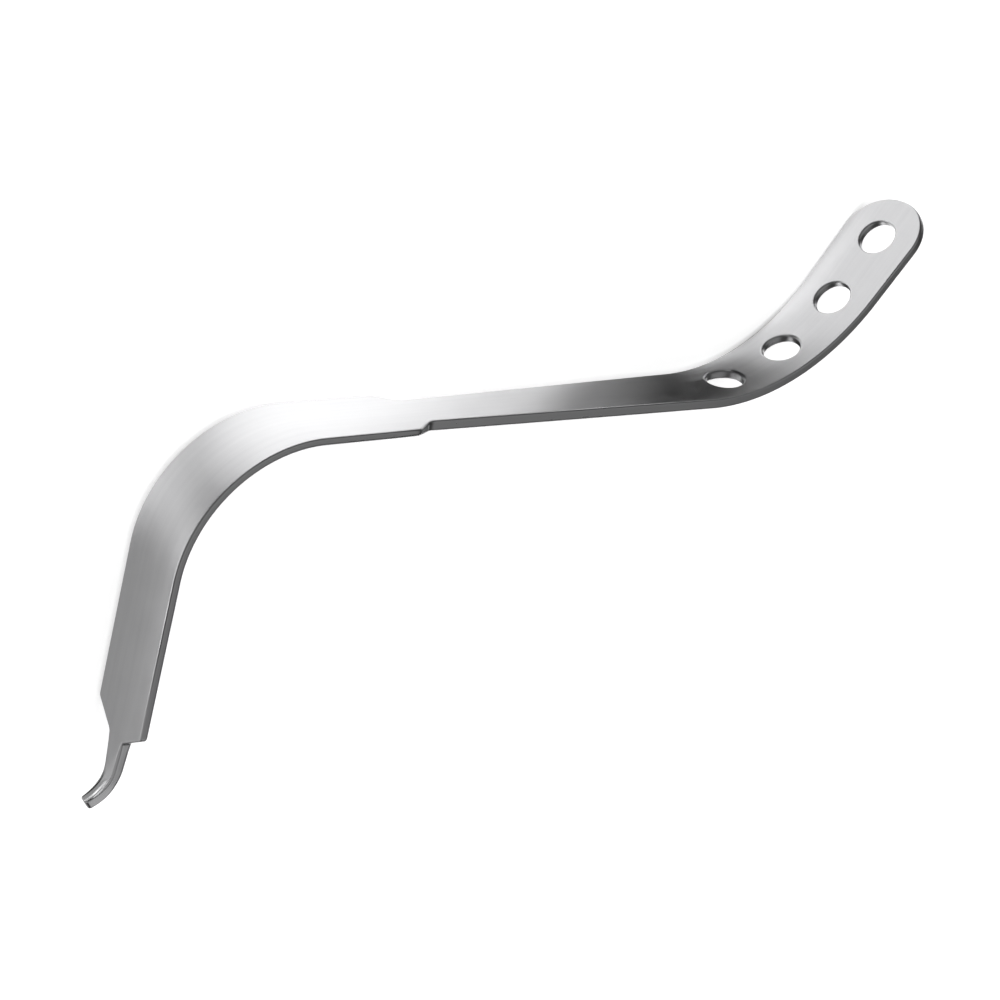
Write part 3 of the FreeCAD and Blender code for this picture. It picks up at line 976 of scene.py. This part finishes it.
@dataclass(frozen=True)
class SatinSteel:
    """Stainless steel with a satin finish, brushed along the grain map.

    Lines and breaks are counted in 100 mm, patches in a metre, and the heights are in metres.
    """

    name: str
    pale: tuple[float, float, float] = (0.66, 0.66, 0.665)
    deep: tuple[float, float, float] = (0.53, 0.53, 0.54)
    streak_share: float = 0.6
    cloud_share: float = 0.4
    roughness: float = 0.34
    roughness_spread: float = 0.10
    polished_roughness: float = 0.22
    lines: float = 360.0
    breaks: float = 9.0
    grain_height: float = 0.000012
    wave_height: float = 0.00045
    patches: float = 55.0

    def colour(self, tree: Tree, streaks: Socket, cloud: Socket) -> Socket:
        """Blend the deep steel with the pale one, by shares of both masks.

        Args:
            tree: The material's tree.
            streaks: Mask of the brush lines.
            cloud: Mask of the hand finish.

        Returns:
            The colour.
        """
        shade = reckon(tree, "MULTIPLY", streaks, self.streak_share)
        shade = reckon(tree, "MULTIPLY_ADD", cloud, self.cloud_share, shade)
        blend = add_node(tree, "ShaderNodeMix", data_type="RGBA")
        blend.inputs["A"].default_value = (*self.deep, 1.0)
        blend.inputs["B"].default_value = (*self.pale, 1.0)
        tree.links.new(shade, blend.inputs["Factor"])
        return blend.outputs["Result"]

    def gloss(self, tree: Tree, streaks: Socket, cloud: Socket, polished: Socket) -> Socket:
        """Vary the satin's roughness, and go over to the polished one.

        The mean of both masks, less a half, swings by up to a half either way, and twice the spread
        times that is added to the satin's roughness.

        Args:
            tree: The material's tree.
            streaks: Mask of the brush lines.
            cloud: Mask of the hand finish.
            polished: How far the steel is polished.

        Returns:
            The roughness.
        """
        uneven = reckon(tree, "MULTIPLY_ADD", streaks, 0.5, -0.5)
        uneven = reckon(tree, "MULTIPLY_ADD", cloud, 0.5, uneven)
        satin = reckon(tree, "MULTIPLY_ADD", uneven, 2.0 * self.roughness_spread, self.roughness)
        change = reckon(tree, "SUBTRACT", self.polished_roughness, satin)
        return reckon(tree, "MULTIPLY_ADD", change, polished, satin)

    def relief(self, tree: Tree, grain: Socket, wave: Socket, polished: Socket) -> Socket:
        """Raise the brush lines and the slow wave, less where the steel is polished.

        Args:
            tree: The material's tree.
            grain: Height of the brush lines, from 0 to 1.
            wave: Height of the slow wave, from 0 to 1.
            polished: How far the steel is polished.

        Returns:
            The surface's normal.
        """
        slow = reckon(tree, "MULTIPLY", wave, self.wave_height)
        fine = reckon(tree, "MULTIPLY", grain, self.grain_height)
        unpolished = reckon(tree, "SUBTRACT", 1.0, polished)
        height = reckon(tree, "MULTIPLY", reckon(tree, "ADD", slow, fine), unpolished)
        bump = add_node(tree, "ShaderNodeBump")
        bump.inputs["Distance"].default_value = 1.0
        tree.links.new(height, bump.inputs["Height"])
        return bump.outputs[0]

    def material(self) -> bpy.types.Material:
        """Build the material.

        Returns:
            The material, which reads its mesh's grain map and polish attribute.
        """
        material = empty_material(self.name)
        tree = material.node_tree
        link = tree.links.new
        grain_map = add_node(tree, "ShaderNodeUVMap", uv_map=GRAIN_MAP)
        grain = add_node(tree, "ShaderNodeGroup", node_tree=BrushedGrain.group())
        grain.inputs["Lines"].default_value = self.lines
        grain.inputs["Breaks"].default_value = self.breaks
        link(grain_map.outputs[0], grain.inputs["Grain"])
        hand = add_node(tree, "ShaderNodeGroup", node_tree=HandFinish.group())
        hand.inputs["Patches"].default_value = self.patches
        polished = add_node(tree, "ShaderNodeAttribute", attribute_name=POLISH).outputs["Fac"]
        streaks, cloud = grain.outputs["Streaks"], hand.outputs["Cloud"]
        steel = add_node(tree, "ShaderNodeBsdfPrincipled")
        steel.inputs["Metallic"].default_value = 1.0
        link(self.colour(tree, streaks, cloud), steel.inputs["Base Color"])
        link(self.gloss(tree, streaks, cloud, polished), steel.inputs["Roughness"])
        relief = self.relief(tree, grain.outputs["Height"], hand.outputs["Wave"], polished)
        link(relief, steel.inputs["Normal"])
        link(steel.outputs[0], add_node(tree, "ShaderNodeOutputMaterial").inputs["Surface"])
        return material


@dataclass(frozen=True)
class SoftCard:
    """A card beside the steel that is only there to be mirrored in it, with a soft rim.

    It lies flat, or is raised from there by its tilt about its own first direction. It is evenly lit over
    the core, a share of the ellipse that fills the card. A card with a surround is clear inside and lit
    outside, out to that many times its ellipse. Its light is a painted reflection that only the steel
    shows: a bright card paints a highlight on the steel, a dark one paints shade.
    """

    name: str
    centre: tuple[float, float]
    half_size: tuple[float, float]
    turn: float
    light: float
    core: float = 0.35
    height: float = 0.0
    surround: float = 0.0
    tilt: float = 0.0

    def material(self) -> bpy.types.Material:
        """Build the card's light, which fades between the core and the ellipse.

        Returns:
            The material, which reads the card's own coordinates.
        """
        material = empty_material(self.name)
        tree = material.node_tree
        link = tree.links.new
        place = add_node(tree, "ShaderNodeTexCoord")
        shrink = add_node(tree, "ShaderNodeVectorMath", operation="DIVIDE")
        shrink.inputs[1].default_value = (self.half_size[0] * METRE, self.half_size[1] * METRE, 1.0)
        link(place.outputs["Object"], shrink.inputs[0])
        reach = add_node(tree, "ShaderNodeVectorMath", operation="LENGTH")
        link(shrink.outputs[0], reach.inputs[0])
        ends = (0.0, 1.0) if self.surround else (1.0, 0.0)
        fade = remap(tree, reach.outputs["Value"], (self.core, 1.0), ends, "SMOOTHERSTEP")
        glow = add_node(tree, "ShaderNodeEmission")
        glow.inputs["Strength"].default_value = self.light
        clear = add_node(tree, "ShaderNodeBsdfTransparent")
        mix = add_node(tree, "ShaderNodeMixShader")
        link(fade, mix.inputs["Fac"])
        link(clear.outputs[0], mix.inputs[1])
        link(glow.outputs[0], mix.inputs[2])
        link(mix.outputs[0], add_node(tree, "ShaderNodeOutputMaterial").inputs["Surface"])
        return material

    def build(self, level: float) -> bpy.types.Object:
        """Put the card in its place.

        Args:
            level: Height in metres at which a card of no height lies.

        Returns:
            The card, seen by mirrored rays alone.
        """
        reach = max(1.0, self.surround) * METRE
        mesh = rectangle(self.name, self.half_size[0] * reach, self.half_size[1] * reach)
        mesh.materials.append(self.material())
        card = put_in_scene(self.name, mesh)
        card.location = (self.centre[0] * METRE, self.centre[1] * METRE, level + self.height * METRE)
        card.rotation_euler = (math.radians(self.tilt), 0.0, math.radians(self.turn))
        card.visible_camera = False
        card.visible_diffuse = False
        card.visible_transmission = False
        card.visible_shadow = False
        return card


@dataclass(frozen=True)
class Lamp:
    """A soft lamp, aimed at the object from far away."""

    name: str
    bearing: float
    rise: float
    strength: float
    spread: float

    def build(self) -> bpy.types.Object:
        """Hang the lamp and keep it out of the steel's reflections.

        Returns:
            The lamp.
        """
        data = bpy.data.lights.new(self.name, "SUN")
        data.energy = self.strength
        data.angle = math.radians(self.spread)
        lamp = put_in_scene(self.name, data)
        bearing, rise = math.radians(self.bearing), math.radians(self.rise)
        level = Vector((math.cos(bearing), math.sin(bearing), 0.0))
        toward = level * math.cos(rise) + Vector((0.0, 0.0, math.sin(rise)))
        lamp.location = toward
        lamp.rotation_euler = toward.to_track_quat("Z", "Y").to_euler()
        lamp.visible_glossy = False
        return lamp


@dataclass
class Studio:
    """The pale floor, the room's light, the lamps and the cards, which paint highlights and shade into the
    steel's reflections.

    The floor's level and reach are in metres. The sky grows evenly lighter while the height of the
    direction, on a scale of -1 to 1, goes through the sky's rise. Each flat card lies higher than
    the one before by the card gap.
    """

    floor_level: float
    floor_reach: float = 8.0
    floor_colour: float = 0.82
    floor_lift: float = 0.40
    room_light: float = 0.52
    sky_low: float = 0.04
    sky_high: float = 0.265
    sky_rise: tuple[float, float] = (0.54, 0.72)
    card_gap: float = 0.06
    lamps: tuple[Lamp, ...] = (
        Lamp("key_lamp", 100.0, 72.0, 1.1, 50.0),
        Lamp("side_lamp", -150.0, 60.0, 0.45, 60.0),
    )
    # Painted reflections: each card glows only in the steel's mirror, a bright one as a painted highlight
    # and a dark one as painted shade.
    cards: tuple[SoftCard, ...] = (
        SoftCard("surround_card", (0.0, 0.0), (270.0, 220.0), 0.0, 0.15, 0.65, surround=6.0),
        SoftCard("bright_card", (-98.0, 14.0), (120.0, 22.0), -7.7, 1.7, 0.28),
        SoftCard("pale_card", (-147.0, 15.0), (82.0, 51.0), -5.0, 0.21, 0.04),
        SoftCard("grey_card", (-120.6, -97.2), (30.0, 89.0), -1.2, 0.42, 0.65),
        SoftCard("tip_card", (-168.0, -50.0), (42.0, 16.0), 125.0, 2.6, 0.35),
        SoftCard("shaft_card", (-129.0, -100.0), (9.0, 7.0), 0.0, 0.75, 0.3),
        SoftCard("foot_card", (-122.2, -98.6), (4.8, 4.8), 0.0, 0.0, 0.6),
        SoftCard("dark_card", (66.7, 19.2), (33.2, 19.8), 21.5, 0.02, 0.78),
        SoftCard("dusk_card", (25.5, 25.3), (31.0, 112.7), 38.2, 0.24, 0.0),
        SoftCard("glow_card", (111.0, 28.4), (64.5, 6.0), 56.8, 1.44, 0.0),
        SoftCard("step_card", (43.0, -38.0), (78.0, 26.0), -23.0, 0.03, 0.5),
        SoftCard("hole_card", (108.0, 7.0), (54.0, 12.0), 30.0, 0.03, 0.6),
        SoftCard("raised_card", (79.3, 20.5), (15.0, 30.0), -45.7, 0.03, 0.7, height=10.0),
        SoftCard("nose_card", (-150.0, -115.0), (46.0, 30.0), 90.0, 0.42, 0.65, height=38.0, tilt=90.0),
        SoftCard("roof_card", (-92.0, -147.0), (34.0, 27.0), 0.0, 0.65, 0.6, height=74.0),
    )

    @staticmethod
    def seen_as_background(tree: Tree) -> Socket:
        """Mark the rays that show a background: from the camera, from a mirror or through glass.

        Args:
            tree: The tree that takes the nodes.

        Returns:
            1 for those rays, and 0 for the others.
        """
        path = add_node(tree, "ShaderNodeLightPath")
        seen = reckon(tree, "MAXIMUM", path.outputs["Is Camera Ray"], path.outputs["Is Glossy Ray"])
        return reckon(tree, "MAXIMUM", seen, path.outputs["Is Transmission Ray"])

    def build_floor(self) -> bpy.types.Object:
        """Lay the floor: matt and pale, and lifted to white where it is seen as background.

        Returns:
            The floor.
        """
        material = empty_material("pale_floor")
        tree = material.node_tree
        link = tree.links.new
        matt = add_node(tree, "ShaderNodeBsdfDiffuse")
        matt.inputs["Color"].default_value = (self.floor_colour,) * 3 + (1.0,)
        lift = add_node(tree, "ShaderNodeEmission")
        strength = reckon(tree, "MULTIPLY", self.seen_as_background(tree), self.floor_lift)
        link(strength, lift.inputs["Strength"])
        both = add_node(tree, "ShaderNodeAddShader")
        link(matt.outputs[0], both.inputs[0])
        link(lift.outputs[0], both.inputs[1])
        link(both.outputs[0], add_node(tree, "ShaderNodeOutputMaterial").inputs["Surface"])
        mesh = rectangle("floor", self.floor_reach, self.floor_reach)
        mesh.materials.append(material)
        floor = put_in_scene("floor", mesh)
        floor.location.z = self.floor_level
        return floor

    def build_world(self) -> None:
        """Light the room evenly, with a white backdrop and a grey sky in the mirror."""
        world = bpy.data.worlds.new("room")
        bpy.context.scene.world = world
        world.use_nodes = True
        tree = world.node_tree
        tree.nodes.clear()
        link = tree.links.new
        path = add_node(tree, "ShaderNodeLightPath")
        place = add_node(tree, "ShaderNodeTexCoord")
        rise = add_node(tree, "ShaderNodeSeparateXYZ")
        link(place.outputs["Generated"], rise.inputs[0])
        sky = remap(tree, rise.outputs["Z"], self.sky_rise, (self.sky_low, self.sky_high), "LINEAR")
        seen = reckon(tree, "MAXIMUM", path.outputs["Is Camera Ray"], path.outputs["Is Transmission Ray"])
        mirrored = reckon(tree, "MULTIPLY", path.outputs["Is Glossy Ray"], sky)
        shown = reckon(tree, "MAXIMUM", seen, mirrored)
        other = reckon(tree, "SUBTRACT", 1.0, self.seen_as_background(tree))
        rest = reckon(tree, "MULTIPLY", other, self.room_light)
        air = add_node(tree, "ShaderNodeBackground")
        air.inputs["Color"].default_value = (1.0, 1.0, 1.0, 1.0)
        link(reckon(tree, "ADD", shown, rest), air.inputs["Strength"])
        link(air.outputs[0], add_node(tree, "ShaderNodeOutputWorld").inputs["Surface"])

    def build(self) -> None:
        """Set up everything around the object."""
        self.build_floor()
        self.build_world()
        for lamp in self.lamps:
            lamp.build()
            LOG.info("lamp %s", lamp.name)
        for number, card in enumerate(self.cards, start=1):
            card.build(self.floor_level + number * self.card_gap * METRE)
            LOG.info("card %s", card.name)


@dataclass(frozen=True)
class PhotoCamera:
    """The camera at the photograph's angle, distance and framing.

    Its place is in millimetres, the image's width in pixels and the sensor's in millimetres. The
    clip is the pair of distances in metres between which things are seen.
    """

    place: tuple[float, float, float] = (-279.673, 141.273, 312.276)
    backward: tuple[float, float, float] = (-0.610154, 0.380673, 0.694838)
    upward: tuple[float, float, float] = (0.105101, 0.908147, -0.405245)
    focal_pixels: float = 1599.01
    image_pixels: float = 1000.0
    sensor: float = 36.0
    clip: tuple[float, float] = (0.01, 50.0)

    def build(self) -> bpy.types.Object:
        """Place the camera and make it the scene's.

        Returns:
            The camera.
        """
        data = bpy.data.cameras.new("photo_camera")
        data.sensor_width = self.sensor
        data.lens = self.sensor * self.focal_pixels / self.image_pixels
        data.clip_start, data.clip_end = self.clip
        camera = put_in_scene("photo_camera", data)
        backward = Vector(self.backward).normalized()
        right = Vector(self.upward).cross(backward).normalized()
        turn = Matrix((right, backward.cross(right), backward)).transposed()
        camera.matrix_world = Matrix.Translation(Vector(self.place) * METRE) @ turn.to_4x4()
        bpy.context.scene.camera = camera
        return camera


def main() -> None:
    """Dress the retractor and set up its studio."""
    logging.basicConfig(level=logging.INFO, format="%(name)s: %(message)s")
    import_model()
    scene = bpy.context.scene
    scene.view_settings.view_transform = "Standard"

    faces = SatinSteel("satin_faces")
    edges = SatinSteel("satin_edges", roughness=0.30, lines=260.0, breaks=14.0, wave_height=0.00012)
    bar = RetractorBar().build([faces.material(), edges.material()])
    LOG.info("%s stands for %s", bar.name, BAR_NODE)

    Studio(floor_level=float(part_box(BAR_NODE)[0].z)).build()
    PhotoCamera().build()


if __name__ == "__main__":
    main()
